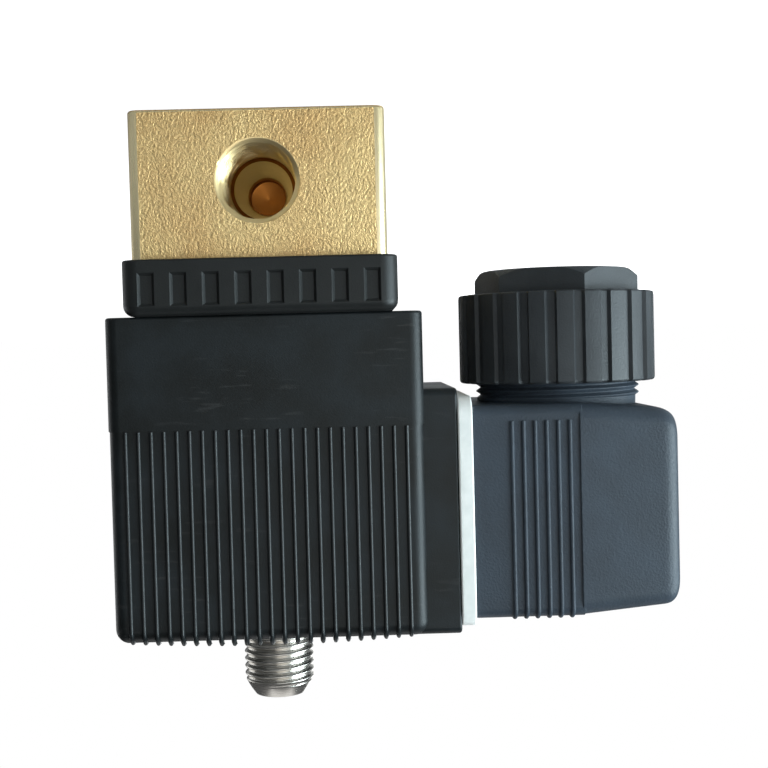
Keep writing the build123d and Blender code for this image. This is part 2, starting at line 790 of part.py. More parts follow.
with BuildPart() as contacts:
    for place_y, place_z, turn in terminal_places:
        with Locations(Location((contact_middle, place_y, place_z), (turn, 0, 0))):
            Box(contact_depth, contact_width, contact_thickness)
        with Locations(Location((contact_face - slot_depth / 2, place_y, place_z), (turn, 0, 0))):
            Box(
                slot_depth,
                blade_width + 2 * running_gap,
                blade_thickness + 2 * running_gap,
                mode=Mode.SUBTRACT,
            )
    add(terminal_screws.part, mode=Mode.SUBTRACT)
contacts.part.label = "contacts"
export_step(contacts.part, "parts/contacts.step")

# ---------------------------------------------------------------- terminal block
with BuildPart() as terminal_block:
    with BuildSketch(plug_plane.offset(block_setback)):
        Rectangle(block_width, block_height)
        Circle(clamp_screw_radius + easy_gap, mode=Mode.SUBTRACT)
    extrude(amount=block_depth)
    for place_y, place_z, turn in terminal_places:
        with Locations(Location((contact_middle, place_y, place_z), (turn, 0, 0))):
            Box(contact_depth, contact_width, contact_thickness, mode=Mode.SUBTRACT)
        with Locations(Location((block_face, place_y, place_z), (turn, 0, 0))):
            Box(
                2 * contact_setback,
                blade_width + 2 * easy_gap,
                blade_thickness + 2 * easy_gap,
                mode=Mode.SUBTRACT,
            )
    add(terminal_screws.part, mode=Mode.SUBTRACT)
terminal_block.part.label = "terminal_block"
export_step(terminal_block.part, "parts/terminal_block.step")

# ---------------------------------------------------------------- cable seal, pressure washer, gland nut
with BuildPart() as gland_seal:
    with BuildSketch(Plane.XY.offset(seal_bottom)):
        with Locations(gland_place):
            Circle(seal_pocket_radius)
            Circle(seal_bore_radius, mode=Mode.SUBTRACT)
    extrude(amount=seal_length)
gland_seal.part.label = "gland_seal"
export_step(gland_seal.part, "parts/gland_seal.step")

with BuildPart() as gland_washer:
    with BuildSketch(Plane.XY.offset(washer_seat)):
        with Locations(gland_place):
            Circle(pressure_washer_radius)
            Circle(pressure_washer_bore, mode=Mode.SUBTRACT)
    extrude(amount=pressure_washer_thickness)
gland_washer.part.label = "gland_washer"
export_step(gland_washer.part, "parts/gland_washer.step")

with BuildPart() as gland_nut:
    with BuildSketch(Plane.XY.offset(nut_floor)):
        with Locations(gland_place):
            Circle(gland_nut_radius)
            with PolarLocations(
                gland_nut_radius + gland_nut_flute_radius - gland_nut_flute_depth,
                gland_nut_flute_count,
                start_angle=gland_nut_flute_turn,
            ):
                Circle(gland_nut_flute_radius, mode=Mode.SUBTRACT)
    extrude(amount=gland_nut_length)
    with BuildSketch(Plane.XY.offset(nut_end)):
        with Locations(gland_place):
            RegularPolygon(neck_radius - gland_hex_inset, 6, major_radius=False, rotation=gland_hex_turn)
    extrude(amount=gland_hex_length)
    with BuildSketch(Plane.XY.offset(washer_seat)):
        with Locations(gland_place):
            Circle(neck_radius + running_gap)
    extrude(amount=nut_rim - washer_seat, mode=Mode.SUBTRACT)
    with BuildSketch(Plane.XY.offset(nut_end)):
        with Locations(gland_place):
            Circle(gland_mouth_radius)
    extrude(amount=washer_seat - nut_end, mode=Mode.SUBTRACT)
gland_nut.part.label = "gland_nut"
export_step(gland_nut.part, "parts/gland_nut.step")
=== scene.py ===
import json
from math import cos, floor, pi, radians, sin, tan

import bmesh
import bpy
from mathutils import Matrix, Vector


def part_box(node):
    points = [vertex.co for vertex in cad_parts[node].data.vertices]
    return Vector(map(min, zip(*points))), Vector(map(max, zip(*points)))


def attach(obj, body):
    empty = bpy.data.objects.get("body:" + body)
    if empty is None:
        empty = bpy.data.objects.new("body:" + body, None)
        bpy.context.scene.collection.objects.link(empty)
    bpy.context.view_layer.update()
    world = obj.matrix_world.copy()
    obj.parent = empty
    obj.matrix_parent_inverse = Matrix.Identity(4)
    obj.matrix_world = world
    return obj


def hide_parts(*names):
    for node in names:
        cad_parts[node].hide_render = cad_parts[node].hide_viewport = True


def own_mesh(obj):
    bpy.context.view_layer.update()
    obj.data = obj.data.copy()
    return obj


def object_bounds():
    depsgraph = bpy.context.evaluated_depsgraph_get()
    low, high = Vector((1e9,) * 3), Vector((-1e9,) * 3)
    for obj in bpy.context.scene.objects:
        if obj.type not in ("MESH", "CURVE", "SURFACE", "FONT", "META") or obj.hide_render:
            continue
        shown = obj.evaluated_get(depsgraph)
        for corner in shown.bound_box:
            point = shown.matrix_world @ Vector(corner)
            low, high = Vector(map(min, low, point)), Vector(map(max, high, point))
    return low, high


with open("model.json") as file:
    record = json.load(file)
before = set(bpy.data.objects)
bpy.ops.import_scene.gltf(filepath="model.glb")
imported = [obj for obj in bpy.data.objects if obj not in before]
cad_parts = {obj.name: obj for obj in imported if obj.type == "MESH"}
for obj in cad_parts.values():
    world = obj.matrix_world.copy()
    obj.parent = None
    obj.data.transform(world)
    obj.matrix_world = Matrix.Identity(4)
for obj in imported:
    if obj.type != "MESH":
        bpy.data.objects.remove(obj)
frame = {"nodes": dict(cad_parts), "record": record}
cad_low, cad_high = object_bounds()

# ---------------------------------------------------------------- the studio
# A small three-way solenoid valve on a plain white table, lit by one large soft light on the
# plug's side and a weak one opposite. The camera is held upside down, as the valve hangs in use.
mm = 0.001
scene = bpy.context.scene
scene.view_settings.view_transform = "Standard"

camera_place = Vector((-12.3, -169.9, 30.0)) * mm
camera_aim = Vector((-15.4, 0.0, 35.2)) * mm
camera_tilt = radians(1.47)
camera_lens = 57.8

camera = bpy.data.objects.new("camera", bpy.data.cameras.new("camera"))
scene.collection.objects.link(camera)
scene.camera = camera
camera.data.lens = camera_lens
camera.data.sensor_width = 36.0
camera.data.clip_start = 0.005
camera_back = (camera_place - camera_aim).normalized()
picture_up = Vector((-sin(camera_tilt), 0.0, -cos(camera_tilt)))
camera_right = picture_up.cross(camera_back).normalized()
camera_up = camera_back.cross(camera_right)
camera.matrix_world = Matrix.Translation(camera_place) @ Matrix(
    (camera_right, camera_up, camera_back)
).transposed().to_4x4()


def soft_light(name, place, aim, width, height, watts, colour):
    """A rectangular studio light at place, turned to face aim."""
    lamp = bpy.data.lights.new(name, "AREA")
    lamp.shape = "RECTANGLE"
    lamp.size = width
    lamp.size_y = height
    lamp.energy = watts
    lamp.color = colour
    light = bpy.data.objects.new(name, lamp)
    scene.collection.objects.link(light)
    light.location = place
    light.rotation_euler = (aim - place).to_track_quat("-Z", "Y").to_euler()
    return light


object_middle = (cad_low + cad_high) / 2
soft_light("key", Vector((-0.50, -0.17, 0.05)), object_middle, 0.46, 0.50, 9.8, (0.82, 0.95, 1.0))
soft_light("fill", Vector((-0.16, -0.62, 0.05)), object_middle, 0.44, 0.50, 1.45, (1.0, 0.99, 0.96))
soft_light("top", Vector((0.0, 0.10, 0.50)), object_middle, 0.40, 0.40, 0.5, (1.0, 1.0, 1.0))
soft_light("back", Vector((-0.10, 0.62, 0.18)), object_middle, 0.44, 0.50, 1.6, (0.96, 0.98, 1.0))
soft_light("far_side", Vector((0.50, 0.30, 0.12)), object_middle, 0.40, 0.44, 0.9, (0.96, 0.98, 1.0))

world = bpy.data.worlds.new("room")
scene.world = world
world.use_nodes = True
room = world.node_tree
room_glow = room.nodes["Background"]
room_glow.inputs["Color"].default_value = (0.08, 0.083, 0.086, 1.0)
backdrop_glow = room.nodes.new("ShaderNodeBackground")
backdrop_glow.inputs["Color"].default_value = (1.0, 1.0, 1.0, 1.0)
room_choice = room.nodes.new("ShaderNodeMixShader")
room_ray = room.nodes.new("ShaderNodeLightPath")
room.links.new(room_ray.outputs["Is Camera Ray"], room_choice.inputs[0])
room.links.new(room_glow.outputs[0], room_choice.inputs[1])
room.links.new(backdrop_glow.outputs[0], room_choice.inputs[2])
room.links.new(room_choice.outputs[0], room.nodes["World Output"].inputs["Surface"])


# ---------------------------------------------------------------- the table
# A sheet of white board that the valve stands on, wide enough to fill any view. Its finish, like
# every other, is mixed from a few patterns: a Reading is a value that changes over the surface.
class Reading:
    """A shader socket that Python's operators work on, each by adding a Math node."""

    def __init__(self, finish, socket):
        self.finish = finish
        self.socket = socket

    def math(self, operation, *others, first=None):
        values = [self, *others] if first is None else [first, self]
        return self.finish.node("ShaderNodeMath", {"operation": operation}, dict(enumerate(values)))

    def __add__(self, other):
        return self.math("ADD", other)

    def __sub__(self, other):
        return self.math("SUBTRACT", other)

    def __rsub__(self, other):
        return self.math("SUBTRACT", first=other)

    def __mul__(self, other):
        return self.math("MULTIPLY", other)

    __radd__ = __add__
    __rmul__ = __mul__


class Finish:
    """One procedural material, with its shader's constants set straight on the shader."""

    def __init__(self, name, constants):
        self.material = bpy.data.materials.new(name)
        self.material.use_nodes = True
        self.tree = self.material.node_tree
        self.shader = self.tree.nodes["Principled BSDF"]
        for socket, value in constants.items():
            self.shader.inputs[socket].default_value = value

    def node(self, kind, settings, inputs, output=0):
        """Adds one node: its settings first, then the values or links of its sockets."""
        made = self.tree.nodes.new(kind)
        for setting, value in settings.items():
            if setting == "stops":
                ramp = made.color_ramp.elements
                while len(ramp) < len(value):
                    ramp.new(0.5)
                for stop, (place, colour) in zip(ramp, value):
                    stop.position = place
                    stop.color = colour
            else:
                setattr(made, setting, value)
        for socket, value in inputs.items():
            if isinstance(value, Reading):
                self.tree.links.new(value.socket, made.inputs[socket])
            else:
                made.inputs[socket].default_value = value
        return Reading(self, made.outputs[output])

    def place(self, stretch=(1.0, 1.0, 1.0)):
        """The point on the piece in its own frame, in metres times stretch."""
        point = self.node("ShaderNodeTexCoord", {}, {}, "Object")
        return self.node("ShaderNodeVectorMath", {"operation": "MULTIPLY"}, {0: point, 1: stretch})

    def noise(self, size, stretch=(1.0, 1.0, 1.0), detail=2.0, roughness=0.5):
        """Soft random variation whose features are about size metres across."""
        settings = {"Vector": self.place(stretch), "Scale": 1.0 / size, "Detail": detail}
        return self.node("ShaderNodeTexNoise", {}, {**settings, "Roughness": roughness}, "Fac")

    def ramp(self, value, low, high, at_low=0.0, at_high=1.0):
        """value from low to high becomes at_low to at_high, and stays inside them."""
        sockets = {0: value, 1: low, 2: high, 3: at_low, 4: at_high}
        return self.node("ShaderNodeMapRange", {"clamp": True}, sockets)

    def mix(self, amount, one, other):
        """Colour one turning into colour other as amount goes from 0 to 1."""
        sockets = {0: amount, 6: one, 7: other}
        return self.node("ShaderNodeMix", {"data_type": "RGBA"}, sockets, 2)

    def relief(self, height, distance, strength=1.0):
        """Bump of the given height in metres."""
        sockets = {"Height": height, "Distance": distance, "Strength": strength}
        self.wear("Normal", self.node("ShaderNodeBump", {}, sockets))

    def wear(self, socket, value):
        """Links a value that changes over the surface to one of the shader's own sockets."""
        self.tree.links.new(value.socket, self.shader.inputs[socket])


def tone(red, green, blue):
    return (red, green, blue, 1.0)


table_half_width = 2.5
table_gap = 0.2 * mm
table_paper = Finish("white_board", {"Roughness": 0.9, "Specular IOR Level": 0.1})
table_fleck = table_paper.noise(0.004)
table_seen = table_paper.node("ShaderNodeLightPath", {}, {}, "Is Camera Ray")
table_paper.wear(
    "Base Color", table_paper.mix(table_fleck, tone(0.62, 0.62, 0.62), tone(0.66, 0.66, 0.66))
)
table_paper.wear(
    "Emission Color", table_paper.mix(table_seen, tone(0.0, 0.0, 0.0), tone(0.96, 0.96, 0.96))
)
table_paper.shader.inputs["Emission Strength"].default_value = 1.0
table_mesh = bpy.data.meshes.new("table")
table_corners = ((-1, -1), (1, -1), (1, 1), (-1, 1))
table_mesh.from_pydata(
    [(x * table_half_width, y * table_half_width, -table_gap) for x, y in table_corners],
    [],
    [(0, 1, 2, 3)],
)
table_mesh.materials.append(table_paper.material)
table = bpy.data.objects.new("table", table_mesh)
scene.collection.objects.link(table)


# ---------------------------------------------------------------- brass body
# A length of 32 mm square brass bar, blasted all over, with its long edges machined smooth. A
# pipe-threaded port is tapped in two opposite faces, and two small holes under it take fixing screws.
def rounded_rectangle(width, depth, corner, steps=6):
    """Points in turn round a rectangle whose corners are arcs, as (across, along) pairs."""
    points = []
    for quarter in range(4):
        side_x = 1 if quarter in (0, 3) else -1
        side_y = 1 if quarter in (0, 1) else -1
        for step in range(steps + 1):
            angle = (quarter + step / steps) * pi / 2
            x = side_x * (width / 2 - corner) + corner * cos(angle)
            y = side_y * (depth / 2 - corner) + corner * sin(angle)
            points.append((x, y))
    return points


def settle(piece):
    """Makes what a piece's modifiers do a part of its mesh, and takes them off."""
    shapes = bpy.context.evaluated_depsgraph_get()
    settled = bpy.data.meshes.new_from_object(piece.evaluated_get(shapes))
    piece.modifiers.clear()
    piece.data = settled


def even_shading(piece, crease):
    """Flat faces shaded flat, round ones smooth, and every edge past the crease angle sharp."""
    piece.data.shade_smooth()
    piece.data.set_sharp_from_angle(angle=radians(crease))
    even = piece.modifiers.new("even", "WEIGHTED_NORMAL")
    even.keep_sharp = True
    even.weight = 80
    settle(piece)


def finish_piece(name, mesh, finish, crease=35.0):
    """Turns a mesh into a shown piece with its finish."""
    work = bmesh.new()
    work.from_mesh(mesh)
    bmesh.ops.recalc_face_normals(work, faces=work.faces)
    work.to_mesh(mesh)
    work.free()
    mesh.materials.append(finish.material)
    piece = bpy.data.objects.new(name, mesh)
    scene.collection.objects.link(piece)
    even_shading(piece, crease)
    return piece


def skinned(name, rings, finish, crease=35.0):
    """A closed shell through rings of points, with a flat face at each end."""
    count = len(rings[0])
    points = [point for ring in rings for point in ring]
    faces = []
    for ring in range(len(rings) - 1):
        for step in range(count):
            after = (step + 1) % count
            start = ring * count
            faces.append((start + step, start + after, start + count + after, start + count + step))
    faces.append(tuple(reversed(range(count))))
    faces.append(tuple(range(len(points) - count, len(points))))
    mesh = bpy.data.meshes.new(name)
    mesh.from_pydata(points, [], faces)
    return finish_piece(name, mesh, finish, crease)


def eased_ends(low, high, low_round, high_round, steps=4):
    """Heights and insets of the rings of a block whose ends are rounded over."""
    rings = []
    for step in range(steps + 1):
        angle = step / steps * pi / 2
        rings.append((low + low_round * (1 - cos(angle)), low_round * (1 - sin(angle))))
    for step in range(steps + 1):
        angle = step / steps * pi / 2
        rings.append((high - high_round * (1 - sin(angle)), high_round * (1 - cos(angle))))
    return rings


def block(name, size, corner, ends, finish, where):
    """A rounded block: size across and along, corner radius, eased ends, and where it stands."""
    rings = []
    for height, inset in ends:
        round_off = max(corner - inset, 0.05 * mm)
        outline = rounded_rectangle(size[0] - 2 * inset, size[1] - 2 * inset, round_off)
        rings.append([where @ Vector((x, y, height)) for x, y in outline])
    return skinned(name, rings, finish)


def plain_ring(radius, height, where, steps=96):
    """Points round a circle about where's own Z axis."""
    angles = [step / steps * 2 * pi for step in range(steps)]
    return [where @ Vector((radius * cos(angle), radius * sin(angle), height)) for angle in angles]


def turned(name, profile, finish, where, steps=96, crease=35.0):
    """A lathe piece: a profile of (radius, height) pairs turned about where's own Z axis."""
    rings = [plain_ring(radius, height, where, steps) for radius, height in profile]
    return skinned(name, rings, finish, crease)


def screw_profile(root, crest, pitch, low, high, lead_low, lead_high, samples=10):
    """Radius of a V thread at a height and angle, run out over lead at each end, and its heights."""
    steps = round((high - low) / pitch * samples)
    heights = [low + (high - low) * step / steps for step in range(steps + 1)]

    def radius(height, angle):
        turn = height / pitch - angle / (2 * pi)
        ridge = 1 - abs(2 * (turn - floor(turn)) - 1)
        flat_ridge = min(max((ridge - 0.12) / 0.76, 0.0), 1.0)
        limit = 1.0
        if lead_low:
            limit = min(limit, (height - low) / lead_low)
        if lead_high:
            limit = min(limit, (high - height) / lead_high)
        return root + (crest - root) * flat_ridge * max(limit, 0.0)

    return heights, radius


def carve(piece, tool, operation="DIFFERENCE"):
    """Cuts tool out of piece, or joins it on, and keeps each surface's own finish."""
    cut = piece.modifiers.new("cut", "BOOLEAN")
    cut.operation = operation
    cut.object = tool
    cut.solver = "EXACT"
    cut.material_mode = "TRANSFER"
    settle(piece)
    bpy.data.objects.remove(tool)


def soften(piece, width, segments=2, angle=40.0):
    """Rounds every edge sharper than angle by a small width, for good."""
    bevel = piece.modifiers.new("soften", "BEVEL")
    bevel.width = width
    bevel.segments = segments
    bevel.limit_method = "ANGLE"
    bevel.angle_limit = radians(angle)
    settle(piece)
    even_shading(piece, 60.0)


body_low, body_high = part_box("valve_body")
body_width = body_high.x - body_low.x
body_height = body_high.z - body_low.z
body_corner = 1.3 * mm
port_height = 9.0 * mm
port_thread_pitch = 0.907 * mm
port_root_radius = 4.32 * mm
port_thread_rise = 0.60 * mm
port_mouth_radius = 5.35 * mm
port_rim_radius = 4.75 * mm
port_thread_depth = 10.2 * mm
port_neck_radius = 3.86 * mm
port_neck_end = 2.55 * mm
turning_mark_count = 22
port_neck_depth = 18.2 * mm
port_bore_radius = 2.45 * mm
port_bore_depth = 20.6 * mm
port_floor_limit = 22.0 * mm
drill_point = 0.45 * mm
chamber_radius = 8.0 * mm
seat_radius = 1.7 * mm
seat_foot_radius = 3.0 * mm

blasted_brass = Finish("blasted_brass", {"Metallic": 1.0, "Specular IOR Level": 0.5})
blasted_grain = blasted_brass.noise(0.00030, (1.0, 1.0, 0.74), 3.0, 0.6)
blasted_fine = blasted_brass.noise(0.00013, (1.0, 1.0, 0.8), 2.0)
blasted_streak = blasted_brass.noise(0.0009, (1.0, 1.0, 0.10), 2.0)
blasted_cloud = blasted_brass.noise(0.009, (1.0, 1.0, 1.0), 3.0)
blasted_tint = blasted_brass.mix(
    blasted_brass.ramp(blasted_cloud, 0.35, 0.65), tone(0.71, 0.48, 0.22), tone(0.79, 0.58, 0.28)
)
blasted_pits = blasted_brass.ramp(blasted_grain, 0.30, 0.48, 0.55, 0.0)
blasted_brass.wear("Base Color", blasted_brass.mix(blasted_pits, blasted_tint, tone(0.42, 0.29, 0.14)))
blasted_brass.wear("Roughness", blasted_brass.ramp(blasted_fine + blasted_streak, 0.7, 1.3, 0.46, 0.62))
blasted_brass.relief(blasted_grain + blasted_streak * 0.25 + blasted_fine * 0.4, 0.00021, 1.0)

turned_brass = Finish("turned_brass", {"Metallic": 1.0})
turned_place = turned_brass.node("ShaderNodeSeparateXYZ", {}, {0: turned_brass.place()}, 1)
turned_lines = turned_brass.node(
    "ShaderNodeTexNoise",
    {"noise_dimensions": "1D"},
    {"W": turned_place * 9000.0, "Scale": 1.0, "Detail": 2.0},
    "Fac",
)
turned_smear = turned_brass.noise(0.0025)
turned_brass.wear(
    "Base Color", turned_brass.mix(turned_smear, tone(0.78, 0.60, 0.30), tone(0.86, 0.70, 0.38))
)
turned_brass.wear("Roughness", turned_brass.ramp(turned_lines, 0.3, 0.7, 0.30, 0.42))
turned_brass.relief(turned_lines, 0.00003, 1.0)

milled_brass = Finish("milled_brass", {"Metallic": 1.0})
milled_drag = milled_brass.noise(0.0006, (1.0, 1.0, 0.04), 2.0)
milled_brass.wear(
    "Base Color", milled_brass.mix(milled_drag, tone(0.80, 0.66, 0.38), tone(0.90, 0.78, 0.50))
)
milled_brass.wear("Roughness", milled_brass.ramp(milled_drag, 0.3, 0.7, 0.22, 0.34))
milled_brass.relief(milled_drag, 0.00003, 0.5)

# Painted shade: a dark brown brass for the port's thread shoulder and the deep bore behind its neck,
# standing in for the shade down the hole. Its noise varies that painted shade at random.
painted_shade_brass = Finish("painted_shade_brass", {"Metallic": 1.0})
painted_shade_mottle = painted_shade_brass.noise(0.0012, (1.0, 1.0, 1.0), 2.0)
painted_shade_brass.wear(
    "Base Color", painted_shade_brass.mix(painted_shade_mottle, tone(0.27, 0.095, 0.018), tone(0.38, 0.15, 0.032))
)
painted_shade_brass.wear("Roughness", painted_shade_brass.ramp(painted_shade_mottle, 0.3, 0.7, 0.30, 0.45))
painted_shade_brass.relief(painted_shade_mottle, 0.00002, 0.5)


def port_tool(side, thread_depth, blind_profile):
    """The shape of a tapped port: mouth chamfer, thread, then the smooth bores behind it."""
    turn = Matrix.Translation((0, side * body_width / 2, port_height)) @ Matrix.Rotation(
        side * pi / 2, 4, "X"
    )
    steps = 96
    heights, thread = screw_profile(
        0.0, port_thread_rise, port_thread_pitch, 0.0, thread_depth, 0.0, 1.2 * mm
    )
    rings = [plain_ring(port_mouth_radius, -0.5 * mm, turn)]
    for height in heights:
        ring = []
        for step in range(steps):
            angle = step / steps * 2 * pi
            narrowed = (port_rim_radius - port_root_radius) * height / thread_depth
            reach = port_rim_radius - narrowed + thread(height, angle)
            reach = max(reach, port_mouth_radius - 2 * height)
            ring.append(turn @ Vector((reach * cos(angle), reach * sin(angle), height)))
        rings.append(ring)
    for reach, height in blind_profile:
        rings.append(plain_ring(reach, height, turn))
    return skinned("port_tool", rings, turned_brass)


body_ends = eased_ends(0.0, body_height, 0.35 * mm, 0.3 * mm, 3)
brass_body = block(
    "brass_body", (body_width, body_width), body_corner, body_ends, blasted_brass, Matrix.Identity(4)
)
brass_body.data.materials.append(milled_brass.material)
brass_body.data.materials.append(turned_brass.material)
for face in brass_body.data.polygons:
    upright = abs(face.normal.z) < 0.5
    on_corner = max(abs(face.normal.x), abs(face.normal.y)) < 0.995
    if upright and on_corner:
        face.material_index = 1
pressure_profile = []
neck_start = port_thread_depth + 0.05 * mm
neck_zone = port_neck_depth - 0.5 * mm - neck_start
for mark in range(turning_mark_count):
    reach = port_neck_radius - (port_neck_radius - port_neck_end) * (mark / turning_mark_count) ** 1.25
    for tread_end in (mark + 0.04, mark + 1):
        pressure_profile.append((reach, neck_start + neck_zone * tread_end / turning_mark_count))
pressure_profile += [
    (port_bore_radius, port_neck_depth + 0.3 * mm),
    (port_bore_radius, port_bore_depth),
    (0.02 * mm, port_bore_depth + drill_point),
]
outlet_thread_depth = 8.5 * mm
outlet_radius = 3.0 * mm
outlet_profile = [(outlet_radius, outlet_thread_depth), (outlet_radius, outlet_thread_depth + 0.3 * mm)]
carve(brass_body, port_tool(-1, port_thread_depth, pressure_profile))
carve(brass_body, port_tool(1, outlet_thread_depth, outlet_profile))
fixing_spacing = 21.0 * mm
fixing_radius = 1.65 * mm
fixing_mouth = 2.1 * mm
fixing_depth = 7.0 * mm
for side in (-1, 1):
    fixing_hole = turned(
        "fixing_hole",
        [
            (fixing_mouth, -0.2 * mm),
            (fixing_mouth, 0.0),
            (fixing_radius, fixing_mouth - fixing_radius),
            (fixing_radius, fixing_depth),
        ],
        turned_brass,
        Matrix.Translation((side * fixing_spacing / 2, 0, 0)),
        48,
    )
    carve(brass_body, fixing_hole)
seat_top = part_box("lower_seal")[0].z
chamber_depth = 1.6 * mm
chamber = turned(
    "chamber",
    [
        (seat_radius, seat_top),
        (seat_foot_radius, seat_top - chamber_depth),
        (chamber_radius, seat_top - chamber_depth),
        (chamber_radius, body_height + 0.5 * mm),
        (seat_radius, body_height + 0.5 * mm),
    ],
    turned_brass,
    Matrix.Identity(4),
)
carve(brass_body, chamber)
# Painted shade: faces on the port's thread shoulder and in its deep bore take the dark brown
# painted-shade brass.
brass_body.data.materials.append(painted_shade_brass.material)
for face in brass_body.data.polygons:
    depth = face.center.y + body_width / 2
    from_axis = Vector((face.center.x, 0, face.center.z - port_height)).length
    on_shoulder = abs(depth - port_thread_depth - 0.02 * mm) < 0.1 * mm and from_axis > port_neck_radius
    in_bore = port_neck_depth < depth < port_floor_limit
    if from_axis < port_root_radius and (on_shoulder or in_bore):
        face.material_index = len(brass_body.data.materials) - 1
even_shading(brass_body, 30.0)
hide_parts("valve_body")
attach(brass_body, "valve")


# ---------------------------------------------------------------- base collar
# A black glass-filled nylon collar between body and coil. It hides the flange screws, and has
# eight shallow finger recesses moulded in each side.
def black_nylon(name, dark, light, roughness, grain=0.00022, scuffs=0.0, depth=0.00002):
    """Satin black nylon with a fine moulded grain and, where it is handled, faint level scuffs."""
    nylon = Finish(name, {"Specular IOR Level": 0.30, "Specular Tint": tone(0.92, 0.98, 1.0)})
    cloud = nylon.noise(0.007, (1.0, 1.0, 1.0), 3.0)
    sparkle = nylon.noise(grain, (1.0, 1.0, 1.0), 2.0)
    colour = nylon.mix(nylon.ramp(cloud, 0.35, 0.65), tone(*dark), tone(*light))
    rough = nylon.ramp(cloud + sparkle, 0.7, 1.3, roughness - 0.05, roughness + 0.06)
    height = sparkle
    if scuffs:
        rub = nylon.ramp(nylon.noise(0.0007, (0.14, 1.0, 1.0), 3.0), 0.60, 0.68)
        patch = nylon.ramp(nylon.noise(0.011, (1.0, 1.0, 1.0), 2.0), 0.45, 0.62)
        mark = rub * patch * scuffs
        colour = nylon.mix(mark, colour, tone(0.13, 0.13, 0.13))
        rough = rough + mark * 0.15
        height = sparkle - mark * 0.5
    nylon.wear("Base Color", colour)
    nylon.wear("Roughness", rough)
    nylon.relief(height, depth, 0.8)
    return nylon


collar_low, collar_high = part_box("base_collar")
collar_width = collar_high.x - collar_low.x
collar_corner = 2.2 * mm
collar_skirt = 0.45 * mm
collar_top_round = 1.4 * mm
recess_pitch = 4.0 * mm
recess_width = 2.1 * mm
recess_height = 4.2 * mm
recess_depth = 0.4 * mm
recess_slope = 0.34 * mm
recess_count = 8

collar_nylon = black_nylon("collar_nylon", (0.009, 0.010, 0.010), (0.012, 0.013, 0.013), 0.42)
collar = block(
    "collar",
    (collar_width, collar_width),
    collar_corner,
    eased_ends(collar_low.z - collar_skirt, collar_high.z, 0.3 * mm, collar_top_round, 5),
    collar_nylon,
    Matrix.Identity(4),
)
recess_tool = bmesh.new()
for side in range(4):
    for number in range(recess_count):
        across = (number - (recess_count - 1) / 2) * recess_pitch
        at = Matrix.Rotation(side * pi / 2, 4, "Z") @ Matrix.Translation(
            (across, -collar_width / 2, (collar_low.z + collar_high.z) / 2)
        )
        size = Matrix.Diagonal((recess_width, 2 * recess_depth, recess_height, 1.0))
        made = bmesh.ops.create_cube(recess_tool, size=1.0)["verts"]
        for corner in made:
            slope = recess_slope if corner.co.y < 0 else -recess_slope
            corner.co = size @ corner.co + Vector((slope, 0, 0)) * (1 if corner.co.x > 0 else -1)
            corner.co.z += slope * (1 if corner.co.z > 0 else -1)
        bmesh.ops.transform(recess_tool, matrix=at, verts=made)
recess_mesh = bpy.data.meshes.new("recesses")
recess_tool.to_mesh(recess_mesh)
recess_tool.free()
carve(collar, finish_piece("recesses", recess_mesh, collar_nylon))
plate_low, plate_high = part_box("flange_plate")
plate_space = block(
    "plate_space",
    (plate_high.x - plate_low.x + 0.3 * mm, plate_high.y - plate_low.y + 0.3 * mm),
    2.6 * mm,
    [(collar_low.z - 1.0 * mm, 0.0), (plate_high.z + 0.15 * mm, 0.0)],
    collar_nylon,
    Matrix.Identity(4),
)
carve(collar, plate_space)
tube_opening_radius = 5.7 * mm
tube_opening = turned(
    "tube_opening",
    [(tube_opening_radius, collar_low.z), (tube_opening_radius, collar_high.z + 1.0 * mm)],
    collar_nylon,
    Matrix.Identity(4),
)
carve(collar, tube_opening)
soften(collar, 0.07 * mm, 2, 35.0)
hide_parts("base_collar")
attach(collar, "valve")

# ---------------------------------------------------------------- coil moulding
# Black nylon moulded round the coil in one shot: a plain band at the foot where the rating label
# would be, fine upright ribs above it that run over the end's edge, and the connector's boss.
coil_low, coil_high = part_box("coil_housing")
coil_width = 39.9 * mm
coil_offset = -0.2 * mm
coil_depth = 31.0 * mm
coil_corner = 1.7 * mm
coil_band_height = 14.4 * mm
coil_band_proud = 0.14 * mm
coil_end_round = 1.7 * mm
coil_end_arch = 0.7 * mm
rib_count = 23
rib_pitch = 1.602 * mm
rib_half_width = 0.27 * mm
rib_proud = 0.27 * mm

coil_nylon = black_nylon(
    "coil_nylon", (0.003, 0.004, 0.004), (0.009, 0.012, 0.014), 0.46, 0.0002, 0.12
)
coil_place = Matrix.Translation((coil_offset, 0, 0))
coil_rings = []
coil_heights = eased_ends(coil_low.z, coil_high.z, 0.35 * mm, coil_end_round, 6)
band_top = coil_low.z + coil_band_height
coil_heights[7:7] = [
    (band_top - 0.12 * mm, 0.0),
    (band_top, coil_band_proud),
]
for place, (height, inset) in enumerate(coil_heights):
    if height > band_top:
        inset += coil_band_proud
    outline = rounded_rectangle(
        coil_width - 2 * inset, coil_depth - 2 * inset, max(coil_corner - inset, 0.1 * mm)
    )
    ring = []
    for x, y in outline:
        arch = coil_end_arch * (2 * x / coil_width) ** 2 if height > band_top + 10 * mm else 0.0
        ring.append(coil_place @ Vector((x, y, height - arch)))
    coil_rings.append(ring)
coil_moulding = skinned("coil_moulding", coil_rings, coil_nylon, 30.0)


def rib_path(across, side):
    """The line a rib follows: up the face, then over the rounded edge a little way."""
    arch = coil_end_arch * (2 * across / coil_width) ** 2
    face = coil_depth / 2 - coil_band_proud
    top = coil_high.z - arch
    path = [(face, band_top), (face, top - coil_end_round)]
    out = [(1.0, 0.0), (1.0, 0.0)]
    for step in range(1, 7):
        angle = step / 6 * radians(80)
        path.append(
            (face - coil_end_round * (1 - cos(angle)), top - coil_end_round * (1 - sin(angle)))
        )
        out.append((cos(angle), sin(angle)))
    return [(side * y, z, side * oy, oz) for (y, z), (oy, oz) in zip(path, out)]


